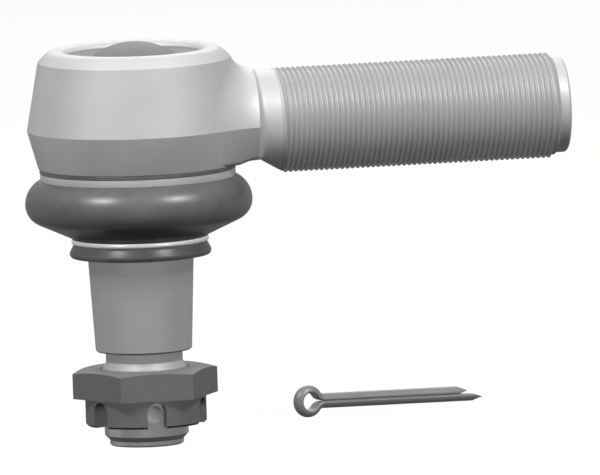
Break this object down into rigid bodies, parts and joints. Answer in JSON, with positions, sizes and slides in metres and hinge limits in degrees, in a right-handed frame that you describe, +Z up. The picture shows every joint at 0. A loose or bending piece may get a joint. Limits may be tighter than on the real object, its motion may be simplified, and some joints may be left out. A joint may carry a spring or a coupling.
{
  "type": "angle ball joint",
  "caption": "Angle ball joint of a steering linkage: forged housing with an externally threaded shank, tapered ball stud with dust boot, castle nut and loose split pin.",
  "frame": {"origin": "centre of the ball, where the axes of the shank and of the stud at rest meet", "axes": "+X along the threaded shank towards its free end, +Z up through the closing cover, so the stud hangs along -Z"},
  "size_m": [0.1568, 0.0996, 0.1156],
  "materials": {
    "forged_steel": "machined forging, satin",
    "cover_steel": "pressed sheet, satin",
    "boot_rubber": "smooth black rubber, slight sheen",
    "seal_rubber": "plain rubber",
    "clamp_steel": "bright strip",
    "ring_steel": "polished ring",
    "stud_steel": "turned and ground",
    "nut_steel": "dark phosphated",
    "pin_steel": "drawn wire",
    "seat_plastic": "moulded",
    "spring_steel": "hardened sheet"
  },
  "bodies": {
    "housing": {"housing": "forged_steel", "closing_cover": "cover_steel", "cover_seal_ring": "seal_rubber", "disc_spring": "spring_steel", "upper_ball_seat": "seat_plastic", "lower_ball_seat": "seat_plastic", "upper_clamp_ring": "clamp_steel", "split_pin": "pin_steel"},
    "boot": {"dust_boot": "boot_rubber"},
    "boot_ring": {"lower_clamp_ring": "ring_steel"},
    "stud": {"ball_stud": "stud_steel"},
    "nut": {"castle_nut": "nut_steel"}
  },
  "joints": [
    {"name": "stud_swing", "type": "hinge", "parent": "housing", "child": "boot", "pos_m": [0, 0, 0], "axis": [0, 1, 0], "range_deg": [-15, 15], "deforming": ["dust_boot"]},
    {"name": "stud_sway", "type": "hinge", "parent": "boot", "child": "boot_ring", "pos_m": [0, 0, 0], "axis": [1, 0, 0], "range_deg": [-15, 15], "deforming": ["dust_boot"]},
    {"name": "stud_spin", "type": "hinge", "parent": "boot_ring", "child": "stud", "pos_m": [0, 0, 0], "axis": [0, 0, 1], "continuous": true},
    {"name": "nut_turn", "type": "hinge", "parent": "stud", "child": "nut", "pos_m": [0, 0, -0.0768], "axis": [0, 0, 1], "range_deg": [-30, 30]}
  ]
}
